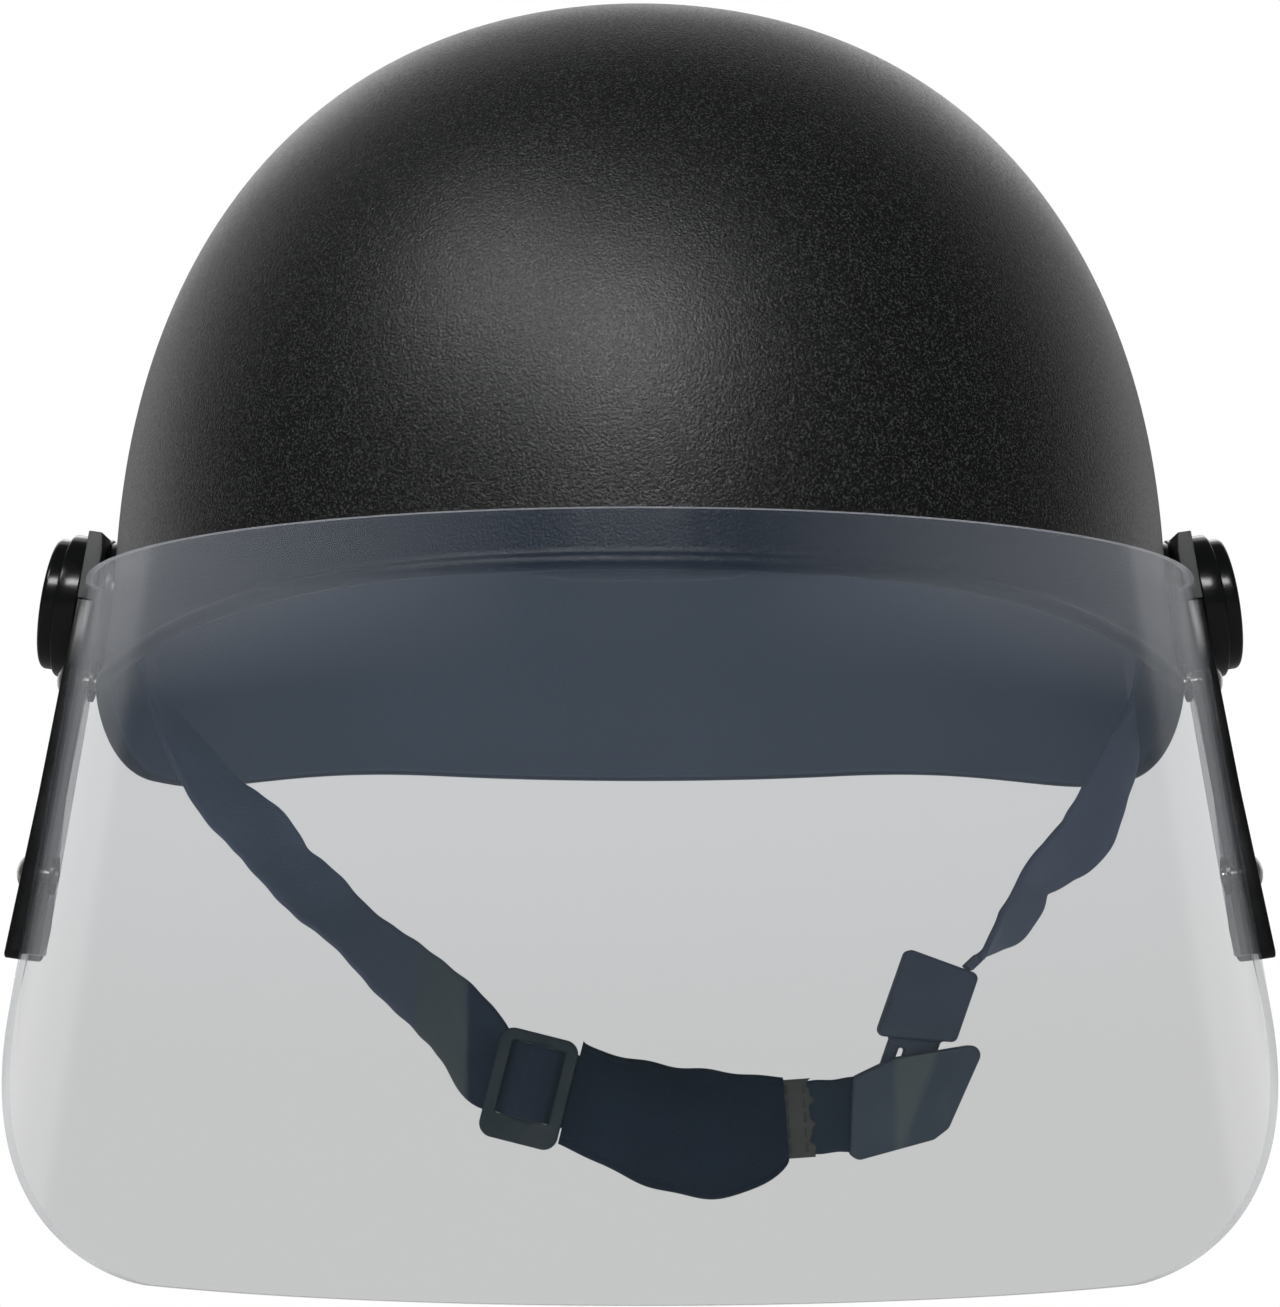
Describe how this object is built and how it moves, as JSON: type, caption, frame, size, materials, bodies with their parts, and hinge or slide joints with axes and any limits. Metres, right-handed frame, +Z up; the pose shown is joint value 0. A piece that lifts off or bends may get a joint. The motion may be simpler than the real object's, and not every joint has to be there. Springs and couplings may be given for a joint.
{
  "type": "helmet",
  "caption": "Moulded police tactical helmet with foam pads, a clear wrap-round visor that tilts up on side hinges, and a chin strap with cup, slider and release buckle.",
  "frame": {"origin": "middle of the head opening, level with the front edge of the brow rim", "axes": "+Z up to the crown, the visor and the face towards -Y, +X to the wearer's left, as seen from the front on the right"},
  "size_m": [0.2612, 0.3064, 0.2535],
  "materials": {
    "shell": "fine spark-eroded grain, satin black",
    "foam": "closed-cell foam, matt",
    "gloss_black": "polished black moulding",
    "lug": "matt dark grey moulding",
    "nickel": "nickel plated",
    "clear_sheet": "clear polycarbonate sheet with a slight smoke tint",
    "webbing": "woven nylon webbing",
    "chin_pad": "padded fabric cup with bound edges",
    "buckle": "moulded acetal, satin"
  },
  "bodies": {
    "helmet": {"shell": "shell", "crown_pad": "foam", "brow_pad": "foam", "nape_pad": "foam", "side_pad_left": "foam", "side_pad_right": "foam", "hinge_base_left": "gloss_black", "hinge_base_right": "gloss_black", "pivot_bolt_left": "nickel", "pivot_bolt_right": "nickel", "pivot_nut_left": "nickel", "pivot_nut_right": "nickel"},
    "visor": {"visor": "clear_sheet", "arm_left": "gloss_black", "arm_right": "gloss_black", "arm_lug_left": "lug", "arm_lug_right": "lug", "hinge_disc_left": "gloss_black", "hinge_disc_right": "gloss_black", "hinge_cap_left": "gloss_black", "hinge_cap_right": "gloss_black", "visor_rivets": "nickel", "rivet_washers": "nickel"},
    "chin_strap": {"strap_left": "webbing", "strap_eyelet_left": "nickel", "slider": "buckle", "chin_cup": "chin_pad", "strap_middle": "webbing", "buckle_socket": "buckle", "strap_right": "webbing", "strap_eyelet_right": "nickel"},
    "buckle_plug": {"buckle_plug": "buckle", "strap_loop": "webbing"}
  },
  "joints": [
    {"name": "visor_tilt", "type": "hinge", "parent": "helmet", "child": "visor", "pos_m": [0, 0, 0.0125], "axis": [-1, 0, 0], "range_deg": [0, 80]},
    {"name": "chin_strap_swing", "type": "hinge", "parent": "helmet", "child": "chin_strap", "pos_m": [0, 0, 0.0125], "axis": [-1, 0, 0], "range_deg": [-40, 40]},
    {"name": "buckle_release", "type": "slide", "parent": "chin_strap", "child": "buckle_plug", "axis": [0.342, 0, 0.9397], "range_m": [0, 0.014], "deforming": ["strap_right"]}
  ]
}
